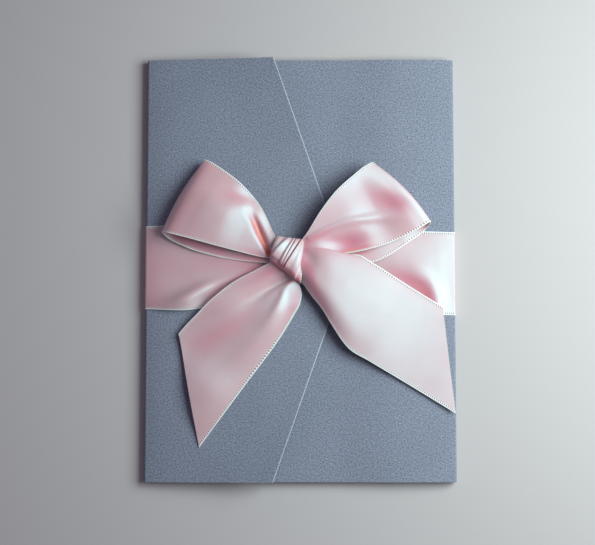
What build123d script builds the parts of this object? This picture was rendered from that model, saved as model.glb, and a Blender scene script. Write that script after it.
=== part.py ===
from build123d import *
import os
from math import cos, radians, sin

# A gatefold card folder for a wedding invitation, closed and tied with a ribbon and bow.
# Frame: origin at the centre of the folder's underside, +X to the right, +Y to the head, +Z up.
# Every length is in millimetres and every angle in degrees.

# Folder, cut from one sheet of card and scored twice on each side.
FOLDER_WIDTH = 130.0
FOLDER_HEIGHT = 178.0
CARD = 0.4                     # thickness of the folder's card
SLACK = 0.1                    # gap at a fold line and between loose sheets
LEFT_FLAP_CORNER = 53.7        # reach of the left flap at the head and foot
LEFT_FLAP_POINT = 85.0         # reach of the left flap at its point
RIGHT_FLAP_REACH = 80.0
FLAP_CURL = 12.5               # rise of the curled flap at full reach, at head and foot
FLAP_REST_RISE = 0.4           # rise at full reach under the ribbon
HELD_FLAT = 20.0               # half height of the stretch that the ribbon presses flat
CURL_STEPS = 5

# Ribbon, a satin band tied round the folder.
RIBBON_WIDTH = 35.0
RIBBON = 0.3
BAND_LEFT_Y = 0.4              # the band runs slightly aslant, from here at the left edge
BAND_RIGHT_Y = -2.2            # to here at the right edge
LEFT_BAND_END = 12.0           # the left half of the band ends here, below the bow
RIGHT_BAND_END = 24.5          # the right half of the band starts here, below the bow
SOFT = 0.6                     # thickness of the bow's loops and tails

# Pocket at the foot of the back panel.
POCKET_WIDTH = 126.0
POCKET_DEPTH = 62.0
POCKET_INSET = 1.0             # from the foot of the folder
TAB_WIDTH = 8.6
TAB = 0.3
TAPE = 0.1
NOTCH_RADIUS = 9.0

# Sheets held in the pocket: width, height, thickness.
MAT = (120.0, 170.0, 0.3)
INVITATION = (114.0, 164.0, 0.4)
DETAILS = (116.0, 130.0, 0.3)
ENVELOPE = (114.0, 84.0, 0.15)
REPLY = (108.0, 78.0, 0.3)
ENVELOPE_FLAP_DEPTH = 36.0
ENVELOPE_FLAP_TIP = 34.0       # half width of the envelope flap's free edge
CORNER_RADIUS = 2.0

# Bow. Outlines are plan views; every piece rises from the knot.
KNOT_CENTRE = (-5.2, 2.8)
KNOT_SIZE = (15.0, 19.0, 11.4)
KNOT_FILLET = 3.6
KNOT_LOW = 5.9
ROOT_Z = 9.6                   # height where loops and tails leave the knot
LOOP_ROOT_RADIUS = 1.5
LOOP_END_RADIUS = 5.0
LOOP_END_Z = 11.8
LEFT_LOOP = [
    (-11.0, 3.0), (-9.5, 13.0), (-14.9, 24.6), (-24.7, 35.5), (-39.7, 45.1), (-57.7, 14.7),
]
LEFT_LOOP_TURN = 149.4
LEFT_LOOP_LENGTH = 51.2
RIGHT_LOOP = [
    (2.0, 12.0), (9.0, 24.0), (18.5, 35.0), (30.3, 43.9), (54.5, 19.3), (24.0, 7.6),
]
RIGHT_LOOP_TURN = 44.5
RIGHT_LOOP_LENGTH = 54.1
LEFT_TAIL = [(-11.5, -4.0), (-50.7, -27.7), (-41.9, -74.7), (-2.6, -19.7), (0.0, -6.0)]
LEFT_TAIL_TURN = 226.0
RIGHT_TAIL = [
    (1.5, 9.0), (22.0, 6.7), (59.2, -16.2), (64.5, -60.6), (19.5, -33.2), (13.4, -24.6), (1.5, -6.0),
]
RIGHT_TAIL_TURN = -31.5
TAIL_ROOT = (4.0, ROOT_Z)      # distance from the knot's centre, height
TAIL_DIP = (42.0, 7.2)
TAIL_TIP = (100.0, 8.2)
ACROSS = 80.0                  # wider than any loop or tail

# Levels, from the table up.
HALF_W = FOLDER_WIDTH / 2
HALF_H = FOLDER_HEIGHT / 2
BACK_LOW = RIBBON
BACK_TOP = BACK_LOW + CARD
TAB_LOW = BACK_TOP + TAPE
TAB_TOP = TAB_LOW + TAB
MAT_LOW = TAB_TOP + SLACK
MAT_TAPE_LOW = MAT_LOW + MAT[2]
INVITATION_LOW = MAT_TAPE_LOW + TAPE
DETAILS_LOW = INVITATION_LOW + INVITATION[2] + SLACK
ENVELOPE_LOW = DETAILS_LOW + DETAILS[2] + SLACK
ENVELOPE_FRONT_LOW = ENVELOPE_LOW + ENVELOPE[2]
REPLY_LOW = ENVELOPE_FRONT_LOW + ENVELOPE[2]
ENVELOPE_FLAP_LOW = REPLY_LOW + REPLY[2]
POCKET_LOW = ENVELOPE_FLAP_LOW + ENVELOPE[2] + SLACK
POCKET_TOP = POCKET_LOW + CARD
RIGHT_FLAP_LOW = POCKET_TOP + 1.5 * SLACK
RIGHT_FLAP_TOP = RIGHT_FLAP_LOW + CARD
LEFT_FLAP_LOW = RIGHT_FLAP_TOP + RIBBON + 3 * SLACK
LEFT_BAND_GAP = 0.02           # between the flap's top and the band laid on it
FOOT = -HALF_H + POCKET_INSET + CARD + SLACK   # where the sheets stand in the pocket


def block(low, high):
    """A box between two opposite corners."""
    size = [b - a for a, b in zip(low, high)]
    centre = [(a + b) / 2 for a, b in zip(low, high)]
    return Pos(*centre) * Box(*size)


def plan_prism(outline, low, high):
    """A vertical prism over a plan outline."""
    face = make_face(Polyline(*outline, close=True))
    return Pos(0, 0, low) * extrude(face, high - low)


def rounded_sheet(width, height, foot, low, thickness):
    """A sheet with rounded corners that stands on the line y = foot."""
    face = RectangleRounded(width, height, CORNER_RADIUS)
    return Pos(0, foot + height / 2, low) * extrude(face, thickness)


def band_y(x):
    """Centre line of the ribbon band where it crosses the folder."""
    share = (x + HALF_W) / FOLDER_WIDTH
    return BAND_LEFT_Y + (BAND_RIGHT_Y - BAND_LEFT_Y) * share


def band_outline(x0, x1):
    half = RIBBON_WIDTH / 2
    return [
        (x0, band_y(x0) - half), (x1, band_y(x1) - half), (x1, band_y(x1) + half), (x0, band_y(x0) + half),
    ]


def back_panel():
    return block((-HALF_W, -HALF_H, BACK_LOW), (HALF_W, HALF_H, BACK_TOP))


def left_spine():
    low = (-HALF_W, -HALF_H, BACK_TOP + SLACK)
    return block(low, (-HALF_W + CARD, HALF_H, LEFT_FLAP_LOW - SLACK))


def right_spine():
    low = (HALF_W - CARD, -HALF_H, BACK_TOP + SLACK)
    return block(low, (HALF_W, HALF_H, RIGHT_FLAP_LOW - SLACK))


def flap_rise(y):
    """Rise of the left flap at full reach, on the line y."""
    beyond = max(0.0, abs(y) - HELD_FLAT) / (HALF_H - HELD_FLAT)
    return FLAP_REST_RISE + FLAP_CURL * beyond**1.5


def flap_section(y, low, thickness, end):
    """Cross-section of the left flap, or of a layer on it, on the line y."""
    reach = end + HALF_W
    share = reach / LEFT_FLAP_POINT
    rise = flap_rise(y) * share**2
    under = [(-HALF_W, low), (-HALF_W + reach / 2, low + rise / 4), (end, low + rise)]
    over = [(x, z + thickness) for x, z in under]
    outline = ThreePointArc(*under) + Line(under[2], over[2])
    outline += ThreePointArc(*over[::-1]) + Line(over[0], under[0])
    return Plane.XZ.offset(-y) * make_face(outline)


def left_flap():
    end = LEFT_FLAP_POINT - HALF_W
    curl = HALF_H - HELD_FLAT
    flat = flap_section(HELD_FLAT, LEFT_FLAP_LOW, CARD, end)
    flap = extrude(flat, 2 * HELD_FLAT, dir=(0, -1, 0))
    for side in (1, -1):
        lines = [side * (HELD_FLAT + curl * i / CURL_STEPS) for i in range(CURL_STEPS + 1)]
        flap += loft([flap_section(y, LEFT_FLAP_LOW, CARD, end) for y in lines], ruled=True)
    corner = LEFT_FLAP_CORNER - HALF_W
    outline = [(-HALF_W, -HALF_H), (corner, -HALF_H), (end, 0), (corner, HALF_H), (-HALF_W, HALF_H)]
    return flap & plan_prism(outline, 0, LEFT_FLAP_LOW + FLAP_CURL + CARD + 1)


def right_flap():
    low = (HALF_W - RIGHT_FLAP_REACH, -HALF_H, RIGHT_FLAP_LOW)
    return block(low, (HALF_W, HALF_H, RIGHT_FLAP_TOP))


def pocket():
    """Front, two sides, a foot and three glue tabs, folded from one sheet."""
    half = POCKET_WIDTH / 2
    foot = -HALF_H + POCKET_INSET
    head = foot + POCKET_DEPTH
    part = block((-half, foot, POCKET_LOW), (half, head, POCKET_TOP))
    part -= Pos(0, head, POCKET_LOW + CARD / 2) * Cylinder(NOTCH_RADIUS, 4 * CARD)
    part += block((-half, foot, TAB_LOW), (half, foot + CARD, POCKET_LOW))
    for side in (1, -1):
        wall = side * half
        inner = side * (half - CARD)
        tab = side * (half - TAB_WIDTH)
        part += block((min(wall, inner), foot, TAB_LOW), (max(wall, inner), head, POCKET_LOW))
        part += block((min(tab, inner), foot + CARD, TAB_LOW), (max(tab, inner), head, TAB_TOP))
    part += block((-half + TAB_WIDTH, foot + CARD, TAB_LOW), (half - TAB_WIDTH, foot + TAB_WIDTH, TAB_TOP))
    return part


def pocket_tape():
    """Three strips of double-sided tape under the pocket's tabs."""
    half = POCKET_WIDTH / 2 - CARD
    foot = -HALF_H + POCKET_INSET + CARD
    head = foot + POCKET_DEPTH - 2 * CARD
    strips = []
    for side in (1, -1):
        edges = sorted((side * half, side * (half - TAB_WIDTH + 2 * CARD)))
        strips.append(block((edges[0], foot + TAB_WIDTH, BACK_TOP), (edges[1], head, TAB_LOW)))
    strips.append(block((-half, foot, BACK_TOP), (half, foot + TAB_WIDTH - 2 * CARD, TAB_LOW)))
    return Compound(children=strips)


def invitation_mat():
    return rounded_sheet(MAT[0], MAT[1], FOOT, MAT_LOW, MAT[2])


def mat_tape():
    """Two strips of double-sided tape between the mat and the invitation."""
    strips = []
    for y in (FOOT + 0.2 * MAT[1], FOOT + 0.8 * MAT[1]):
        low = (-0.4 * MAT[0], y - TAB_WIDTH / 2, MAT_TAPE_LOW)
        strips.append(block(low, (0.4 * MAT[0], y + TAB_WIDTH / 2, MAT_TAPE_LOW + TAPE)))
    return Compound(children=strips)


def invitation_card():
    border = (MAT[1] - INVITATION[1]) / 2
    return rounded_sheet(INVITATION[0], INVITATION[1], FOOT + border, INVITATION_LOW, INVITATION[2])


def details_card():
    return rounded_sheet(DETAILS[0], DETAILS[1], FOOT, DETAILS_LOW, DETAILS[2])


def envelope_back():
    return rounded_sheet(ENVELOPE[0], ENVELOPE[1], FOOT, ENVELOPE_LOW, ENVELOPE[2])


def envelope_front():
    return rounded_sheet(ENVELOPE[0], ENVELOPE[1], FOOT, ENVELOPE_FRONT_LOW, ENVELOPE[2])


def reply_card():
    border = ENVELOPE[1] - REPLY[1] - 1.0
    return rounded_sheet(REPLY[0], REPLY[1], FOOT + border, REPLY_LOW, REPLY[2])


def envelope_flap():
    head = FOOT + ENVELOPE[1]
    half = ENVELOPE[0] / 2 - CORNER_RADIUS
    free = head - ENVELOPE_FLAP_DEPTH
    outline = [(-half, head), (-ENVELOPE_FLAP_TIP, free), (ENVELOPE_FLAP_TIP, free), (half, head)]
    return plan_prism(outline, ENVELOPE_FLAP_LOW, ENVELOPE_FLAP_LOW + ENVELOPE[2])


def ribbon_back_band():
    return plan_prism(band_outline(-HALF_W, HALF_W), 0, RIBBON)


def ribbon_wrap(side, top):
    """The ribbon's turn round one spine."""
    half = RIBBON_WIDTH / 2
    centre = band_y(side * HALF_W)
    edges = sorted((side * HALF_W, side * (HALF_W + RIBBON)))
    return block((edges[0], centre - half, BACK_TOP), (edges[1], centre + half, top))


def ribbon_left_band():
    low = LEFT_FLAP_LOW + CARD + LEFT_BAND_GAP
    profile = flap_section(HELD_FLAT, low, RIBBON, LEFT_BAND_END)
    layer = extrude(profile, 2 * HELD_FLAT, dir=(0, -1, 0))
    return layer & plan_prism(band_outline(-HALF_W, LEFT_BAND_END), 0, 2 * low)


def ribbon_right_band():
    return plan_prism(band_outline(RIGHT_BAND_END, HALF_W), RIGHT_FLAP_TOP, RIGHT_FLAP_TOP + RIBBON)


def bow_knot():
    centre_z = KNOT_LOW + KNOT_SIZE[2] / 2
    body = Box(*KNOT_SIZE)
    return Pos(KNOT_CENTRE[0], KNOT_CENTRE[1], centre_z) * fillet(body.edges(), KNOT_FILLET)


def turned_strip(profile, turn):
    """A profile drawn outwards from the knot, made into a wide strip and turned to its direction."""
    strip = extrude(Plane.XZ * profile, ACROSS / 2, both=True)
    return Pos(*KNOT_CENTRE, 0) * Rot(0, 0, turn) * strip


def loop_hull(length, inset):
    root = Pos(2 * LOOP_ROOT_RADIUS, ROOT_Z) * Circle(LOOP_ROOT_RADIUS - inset)
    end = Pos(length - LOOP_END_RADIUS, LOOP_END_Z) * Circle(LOOP_END_RADIUS - inset)
    return make_hull(root.edges() + end.edges())


def bow_loop(outline, turn, length):
    """A hollow teardrop loop, open at both sides, cut to its plan outline and clear of the knot."""
    profile = loop_hull(length, 0) - loop_hull(length, SOFT)
    prism = plan_prism(outline, 0, 4 * ROOT_Z)
    return (turned_strip(profile, turn) & prism) - bow_knot()


def bow_tail(outline, turn):
    """A ribbon end that dips from the knot and lies out over the folder."""
    under = [TAIL_ROOT, TAIL_DIP, TAIL_TIP]
    over = [(u, z + SOFT) for u, z in under]
    edge = ThreePointArc(*under) + Line(under[2], over[2])
    edge += ThreePointArc(*over[::-1]) + Line(over[0], under[0])
    prism = plan_prism(outline, 0, 4 * ROOT_Z)
    return (turned_strip(make_face(edge), turn) & prism) - bow_knot()


def write(node, shape):
    export_step(shape, f"parts/{node}.step")


os.makedirs("parts", exist_ok=True)
write("back_panel", back_panel())
write("left_spine", left_spine())
write("right_spine", right_spine())
write("left_flap", left_flap())
write("right_flap", right_flap())
write("pocket", pocket())
write("pocket_tape", pocket_tape())
write("invitation_mat", invitation_mat())
write("mat_tape", mat_tape())
write("invitation_card", invitation_card())
write("details_card", details_card())
write("reply_envelope_back", envelope_back())
write("reply_envelope_front", envelope_front())
write("reply_envelope_flap", envelope_flap())
write("reply_card", reply_card())
write("ribbon_back_band", ribbon_back_band())
write("ribbon_left_wrap", ribbon_wrap(-1, LEFT_FLAP_LOW - SLACK))
write("ribbon_right_wrap", ribbon_wrap(1, RIGHT_FLAP_LOW - SLACK))
write("ribbon_left_band", ribbon_left_band())
write("ribbon_right_band", ribbon_right_band())
write("bow_knot", bow_knot())
write("bow_left_loop", bow_loop(LEFT_LOOP, LEFT_LOOP_TURN, LEFT_LOOP_LENGTH))
write("bow_right_loop", bow_loop(RIGHT_LOOP, RIGHT_LOOP_TURN, RIGHT_LOOP_LENGTH))
write("bow_left_tail", bow_tail(LEFT_TAIL, LEFT_TAIL_TURN))
write("bow_right_tail", bow_tail(RIGHT_TAIL, RIGHT_TAIL_TURN))
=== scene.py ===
import math
import bpy
import numpy as np
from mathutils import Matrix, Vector


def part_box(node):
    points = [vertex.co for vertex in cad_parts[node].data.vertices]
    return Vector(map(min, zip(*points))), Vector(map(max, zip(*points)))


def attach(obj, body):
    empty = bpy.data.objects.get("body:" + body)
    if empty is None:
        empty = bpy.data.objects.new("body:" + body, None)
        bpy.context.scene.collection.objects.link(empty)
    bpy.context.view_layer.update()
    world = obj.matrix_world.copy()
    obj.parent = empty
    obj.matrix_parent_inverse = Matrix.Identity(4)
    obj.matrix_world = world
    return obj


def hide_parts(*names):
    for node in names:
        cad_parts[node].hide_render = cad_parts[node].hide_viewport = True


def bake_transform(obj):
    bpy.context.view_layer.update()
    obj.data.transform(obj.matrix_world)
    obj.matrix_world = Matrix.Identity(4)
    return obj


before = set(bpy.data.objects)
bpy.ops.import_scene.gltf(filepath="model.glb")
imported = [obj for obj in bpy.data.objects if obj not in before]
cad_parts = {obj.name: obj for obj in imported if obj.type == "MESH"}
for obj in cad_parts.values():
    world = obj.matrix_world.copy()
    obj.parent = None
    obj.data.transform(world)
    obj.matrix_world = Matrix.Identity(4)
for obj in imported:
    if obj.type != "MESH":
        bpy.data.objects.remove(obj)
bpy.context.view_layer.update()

# A tied gatefold invitation folder: card shell, pocket with inserts, and a satin ribbon with its bow.
# Lengths in this script are millimetres in the frame's axes, and MM turns them into metres.
MM = 0.001


def metres(*values):
    return tuple(v * MM for v in values)


def box_mm(node):
    """Lowest and highest corner of a CAD node, in millimetres."""
    low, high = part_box(node)
    return np.array(low) / MM, np.array(high) / MM


# ---------------------------------------------------------------- sizes read from the frame

BACK_LOW, BACK_HIGH = box_mm("back_panel")
LEFT_LOW, LEFT_HIGH = box_mm("left_flap")
RIGHT_LOW = box_mm("right_flap")[0]
BAND_LOW, BAND_HIGH = box_mm("ribbon_back_band")
RIGHT_BAND_LOW = box_mm("ribbon_right_band")[0]

HALF_W = BACK_HIGH[0]
HALF_H = BACK_HIGH[1]
CARD = BACK_HIGH[2] - BACK_LOW[2]
BACK_Z = BACK_LOW[2] + CARD / 2            # middle of the back panel's card
LEFT_Z = LEFT_LOW[2] + CARD / 2            # middle of the left flap's card, at its fold
RIGHT_Z = RIGHT_LOW[2] + CARD / 2
LEFT_POINT = LEFT_HIGH[0]                  # x of the left flap's point
RIGHT_EDGE = RIGHT_LOW[0]                  # x of the right flap's hidden free edge
RIBBON_BACK_Z = (BAND_LOW[2] + BAND_HIGH[2]) / 2
RIGHT_BAND_END = RIGHT_BAND_LOW[0]

# ---------------------------------------------------------------- sizes known from the design

LEFT_CORNER = -11.3                        # x of the left flap's free corners
FLAP_REACH = LEFT_POINT + HALF_W
FLAP_CURL = 12.5                           # lift of the left flap's head and foot, at its full reach
FLAP_REST_RISE = 0.4                       # lift of the rest of its free edge
HELD_FLAT = 20.0                           # the ribbon holds the flap flat this far from its middle
SPRING = 9.0                               # the flaps spring up from their rounded folds over this reach
LEFT_DROP, RIGHT_DROP = 2.0, 1.35
LEFT_DOME, RIGHT_DOME = 0.55, 1.35         # height of their belly
LEFT_DOME_X, LEFT_DOME_RUN = -45, 62       # where it changes, and over what length
RIGHT_DOME_X, RIGHT_DOME_RUN = 14, 28
CRUSHED = 0.26 / 60.0                      # share of the left flap crushed along its cut edge, where it takes a painted highlight
CRUSHED_ROWS = 3

FOLD_RADIUS = 0.9
FOLD_INSET = 1.6                           # a fold bends from this far inside the folder's edge
FOLD_RISE = 1.2                            # to this far along its spine

RIBBON_WIDTH = 35.0
SATIN = 0.26                               # thickness of the ribbon
SELVEDGE_RIB = 0.10                        # extra thickness of its ribbed selvedge
SELVEDGE_INSET = 0.5                       # that rib lies this far inside the edge
SELVEDGE_WIDTH = 0.38
SKIN = 0.02                                # the ribbon lies this far off the card
BAND_LEFT_Y, BAND_RIGHT_Y = 0.4, -2.2      # the band's middle at the folder's two edges
BAND_EDGE = HALF_W + SATIN / 2 + SKIN
BAND_LIFT = CARD / 2 + SATIN / 2 + SKIN
BAND_TURN = HALF_W - 12.0                  # from here out, the back band belongs to the side turns
BAND_CORNER = HALF_W - 2.0                 # and here its level run ends
LEFT_BAND_END = 21.0                       # x where the left band ends, under the bow


# ---------------------------------------------------------------- curves and sheets


def smooth_step(t):
    t = np.clip(t, 0.0, 1.0)
    return t * t * (3 - 2 * t)


def hump(x, centre, width):
    return np.exp(-(((x - centre) / width) ** 2))


def through(knots, values, at):
    """A smooth curve through values at rising knots, read at many places."""
    knots = np.asarray(knots, float)
    values = np.asarray(values, float).reshape(len(knots), -1)
    slopes = np.gradient(values, knots, axis=0)
    i = np.clip(np.searchsorted(knots, at, side="right") - 1, 0, len(knots) - 2)
    step = (knots[i + 1] - knots[i])[:, None]
    t = (at - knots[i])[:, None] / step
    near = (2 * t**3 - 3 * t**2 + 1) * values[i] + (t**3 - 2 * t**2 + t) * step * slopes[i]
    far = (3 * t**2 - 2 * t**3) * values[i + 1] + (t**3 - t**2) * step * slopes[i + 1]
    return near + far


def arc_length(points):
    steps = np.linalg.norm(np.diff(points, axis=0), axis=1)
    return np.concatenate([[0.0], np.cumsum(steps)])


def level(x0, x1, z, count):
    """A level path of (x, z)."""
    return np.stack([np.linspace(x0, x1, count), np.full(count, z)], 1)


def across(selvedge_columns=9, middle_columns=44, selvedge=2.0):
    """Places across the ribbon, from 0 to 1, closer together at its two selvedges."""
    edge = np.linspace(0, selvedge, selvedge_columns)
    middle = np.linspace(selvedge, RIBBON_WIDTH - selvedge, middle_columns)
    return np.concatenate([edge[:-1], middle, RIBBON_WIDTH - edge[::-1][1:]]) / RIBBON_WIDTH


def swept(path, lines):
    """Sweeps a path of (x, z) along lines of y, which may differ from one path point to the next."""
    points = np.zeros((len(path), lines.shape[-1], 3))
    points[..., 0] = path[:, None, 0]
    points[..., 1] = lines
    points[..., 2] = path[:, None, 1]
    return points


CORNER_POINTS = 9


def corner_path(side, edge_x, level_z, rising):
    """A quarter turn of (x, z). Rising, it goes from a level run to the upright at edge_x, and else from
    the upright to a level run."""
    turn = np.linspace(0, math.pi / 2, CORNER_POINTS)
    if rising:
        x = edge_x - side * FOLD_RADIUS * (1 - np.sin(turn))
        z = level_z + FOLD_RADIUS * (1 - np.cos(turn))
    else:
        x = edge_x - side * FOLD_RADIUS * (1 - np.cos(turn))
        z = level_z - FOLD_RADIUS * (1 - np.sin(turn))
    return np.stack([x, z], 1)


def side_paths(side, edge_x, low_z, top_z):
    """Paths of (x, z) round one side: from below to mid spine, and from there up to the flap."""
    middle = [[edge_x, (BACK_Z + top_z) / 2]]
    lower = np.concatenate([corner_path(side, edge_x, low_z, True), middle])
    upper = np.concatenate([middle, corner_path(side, edge_x, top_z, False)])
    return lower, upper


def grid_uv(points):
    """Lengths along every column of a grid, and across it on its middle row."""
    steps = np.linalg.norm(np.diff(points, axis=0), axis=2)
    uv = np.zeros(points.shape[:2] + (2,))
    uv[1:, :, 0] = np.cumsum(steps, axis=0)
    uv[..., 1] = arc_length(points[len(points) // 2])
    return uv


def grid_normals(points):
    down = np.gradient(points, axis=0)
    side = np.gradient(points, axis=1)
    normal = np.cross(down, side)
    return normal / np.maximum(np.linalg.norm(normal, axis=2, keepdims=True), 1e-9)


def sheet_faces(rows, cols):
    """Faces of a thin sheet whose upper points come first: upper side, lower side, and the rim between."""
    count = rows * cols
    index = np.arange(count).reshape(rows, cols)
    a, b = index[:-1, :-1].ravel(), index[1:, :-1].ravel()
    c, d = index[1:, 1:].ravel(), index[:-1, 1:].ravel()
    upper = np.stack([a, b, c, d], 1)
    lower = np.stack([d, c, b, a], 1) + count
    ring = np.concatenate([index[:, 0], index[-1, 1:], index[-2::-1, -1], index[0, -2:0:-1]])
    turn = np.roll(ring, -1)
    rim = np.stack([ring, ring + count, turn + count, turn], 1)
    return upper, lower, rim


CM_PER_MM = 0.1                            # the sheets' UV map is in centimetres
SHARP_ANGLE = 55


def sheet_mesh(name, points, uv, thickness, materials, painted_shade=None):
    """A thin closed sheet round a grid of middle points; its cut edges take the last material.
    painted_shade tells, from 0 to 2, how much painted shade each point takes in a fold."""
    rows, cols = points.shape[:2]
    offset = grid_normals(points) * (thickness / 2)[..., None]
    both_sides = np.concatenate([(points + offset).reshape(-1, 3), (points - offset).reshape(-1, 3)])
    upper, lower, rim = sheet_faces(rows, cols)
    faces = np.concatenate([upper, lower, rim])
    mesh = bpy.data.meshes.new(name)
    mesh.from_pydata((both_sides * MM).tolist(), [], faces.tolist())
    layer = mesh.uv_layers.new(name="Cloth")
    corners = np.zeros(len(mesh.loops), int)
    mesh.loops.foreach_get("vertex_index", corners)
    flat = uv.reshape(-1, 2) * CM_PER_MM
    layer.data.foreach_set("uv", flat[corners % len(flat)].ravel())
    for material in materials:
        mesh.materials.append(material)
    slots = np.zeros(len(faces), int)
    slots[-len(rim):] = len(materials) - 1
    mesh.polygons.foreach_set("material_index", slots)
    mesh.polygons.foreach_set("use_smooth", np.ones(len(faces), bool))
    if painted_shade is not None:
        # painted shade for each point, read by the satin's colour
        depth = mesh.attributes.new("PaintedShade", "FLOAT", "POINT")
        depth.data.foreach_set("value", np.tile(painted_shade.ravel(), 2))
    mesh.update()
    mesh.set_sharp_from_angle(angle=math.radians(SHARP_ANGLE))
    piece = bpy.data.objects.new(name, mesh)
    bpy.context.scene.collection.objects.link(piece)
    return piece


def fasten(piece, body, nodes):
    """Hides the CAD nodes that a piece stands for and hangs it on its body. Its body is a name, or the two
    names and the two places that it bends between, which are not used: such a piece only has its transform
    baked in."""
    if nodes:
        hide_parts(*nodes)
    if isinstance(body, str):
        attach(piece, body)
    else:
        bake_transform(piece)


def lower_bend(side, spine):
    """How a piece bends between the back and a spine."""
    start = metres(side * (HALF_W - FOLD_INSET), 0, BACK_Z)
    end = metres(side * HALF_W, 0, BACK_Z + FOLD_RISE)
    return "back", spine, start, end


def upper_bend(side, spine, flap, top_z):
    """How a piece bends between a spine and its flap."""
    start = metres(side * HALF_W, 0, top_z - FOLD_RISE)
    end = metres(side * (HALF_W - FOLD_INSET), 0, top_z)
    return spine, flap, start, end


# ---------------------------------------------------------------- folder shape


def flap_end(y):
    """Where the left flap's pointed free edge lies on the line y."""
    return LEFT_CORNER + (LEFT_POINT - LEFT_CORNER) * (1 - np.abs(y) / HALF_H)


def flap_rise(x, y):
    """How far the left flap curls up above its fold."""
    beyond = np.clip(np.abs(y) - HELD_FLAT, 0, None) / (HALF_H - HELD_FLAT)
    reach = np.clip(x + HALF_W, 0, None) / FLAP_REACH
    return (FLAP_REST_RISE + FLAP_CURL * beyond**1.5) * reach**2


def left_surface(x, y):
    """Height of the middle of the left flap's card."""
    inset = np.clip(x + HALF_W, 0, None)
    dome = LEFT_DOME * (1 - smooth_step((x - LEFT_DOME_X) / LEFT_DOME_RUN))
    return LEFT_Z + dome - LEFT_DROP * np.exp(-inset / SPRING) + flap_rise(x, y)


def right_surface(x):
    """Height of the middle of the right flap's card."""
    inset = np.clip(HALF_W - x, 0, None)
    dome = RIGHT_DOME * smooth_step((x - RIGHT_DOME_X) / RIGHT_DOME_RUN)
    return RIGHT_Z + dome - RIGHT_DROP * np.exp(-inset / SPRING)


def band_y(x):
    """Centre line of the ribbon band where it crosses the folder."""
    share = (x + HALF_W) / (2 * HALF_W)
    return BAND_LEFT_Y + (BAND_RIGHT_Y - BAND_LEFT_Y) * share


# ---------------------------------------------------------------- material nodes


def new_material(name):
    material = bpy.data.materials.new(name)
    material.use_nodes = True
    tree = material.node_tree
    shader = tree.nodes["Principled BSDF"]
    return material, tree, shader


def node(tree, kind, inputs=None, **settings):
    """Adds a node, sets its properties, and links or sets its inputs by name or number."""
    made = tree.nodes.new(kind)
    for key, value in settings.items():
        setattr(made, key, value)
    for key, value in (inputs or {}).items():
        socket = made.inputs[key]
        if isinstance(value, bpy.types.NodeSocket):
            tree.links.new(value, socket)
        else:
            socket.default_value = value
    return made


def maths(tree, operation, a, b=0.0, clamp=False):
    return node(tree, "ShaderNodeMath", {0: a, 1: b}, operation=operation, use_clamp=clamp).outputs[0]


def mix_colour(tree, share, a, b):
    return node(tree, "ShaderNodeMix", {0: share, 6: a, 7: b}, data_type="RGBA").outputs[2]


def remap(tree, value, low, high, to_low, to_high):
    inputs = {0: value, 1: low, 2: high, 3: to_low, 4: to_high}
    return node(tree, "ShaderNodeMapRange", inputs, interpolation_type="SMOOTHSTEP").outputs[0]


def noise(tree, place, scale, detail, roughness=0.5):
    inputs = {"Vector": place, "Scale": scale, "Detail": detail, "Roughness": roughness}
    return node(tree, "ShaderNodeTexNoise", inputs).outputs[0]


def rgba(red, green, blue):
    return (red, green, blue, 1.0)


def set_inputs(shader, values):
    for name, value in values.items():
        shader.inputs[name].default_value = value


def finish_surface(tree, shader, colour, rough, relief, strength, depth):
    """Links a material's colour, roughness and fine relief. depth is in millimetres."""
    tree.links.new(colour, shader.inputs["Base Color"])
    tree.links.new(rough, shader.inputs["Roughness"])
    inputs = {"Height": relief, "Strength": strength, "Distance": depth * MM}
    tree.links.new(node(tree, "ShaderNodeBump", inputs).outputs[0], shader.inputs["Normal"])


# ---------------------------------------------------------------- satin

BLUSH = rgba(0.81, 0.505, 0.53)
BLUSH_DEEP = rgba(0.77, 0.45, 0.48)
TWILL_SHADE = rgba(0.62, 0.30, 0.34)
ROSE_PAINTED_SHADE = rgba(0.78, 0.26, 0.33)              # painted shade in a fold
CORAL_PAINTED_SHADE = rgba(0.94, 0.26, 0.18)             # painted shade in the depth of a fold
SELVEDGE_PALE = rgba(1.0, 0.90, 0.87)
SELVEDGE_GAP = rgba(0.36, 0.11, 0.14)

TICK_PITCH = 0.93                          # mm between the small loops along the selvedge
SELVEDGE_START = 1.04                      # the ribbed selvedge starts this far inside the edge
SELVEDGE_RIM = 0.36                        # and it is plain and pale this near to the edge
EDGE_BLUR = 0.06
TWILL_PITCH = 1.35
TWILL_SLOPE = 1.7
THREAD_STRETCH = (1.2, 60.0, 1.0)          # threads run along the ribbon
SATIN_ROUGH, THREAD_ROUGH, SELVEDGE_ROUGH = 0.42, 0.12, 0.22
TWILL_RELIEF, THREAD_RELIEF, TICK_RELIEF = 0.22, 0.5, 1.4


def satin_lengths(tree):
    """The ribbon's UV map, and with it the lengths along and across the ribbon in millimetres."""
    uv = node(tree, "ShaderNodeUVMap", uv_map="Cloth").outputs[0]
    parts = node(tree, "ShaderNodeSeparateXYZ", {0: uv})
    along = maths(tree, "MULTIPLY", parts.outputs[0], 1 / CM_PER_MM)
    over = maths(tree, "MULTIPLY", parts.outputs[1], 1 / CM_PER_MM)
    return uv, along, over


def beyond(tree, value, start):
    """0 before start and 1 after it, with a short blur."""
    return remap(tree, value, start - EDGE_BLUR, start + EDGE_BLUR, 0.0, 1.0)


def wave(tree, length, pitch):
    return maths(tree, "SINE", maths(tree, "MULTIPLY", length, 2 * math.pi / pitch))


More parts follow.
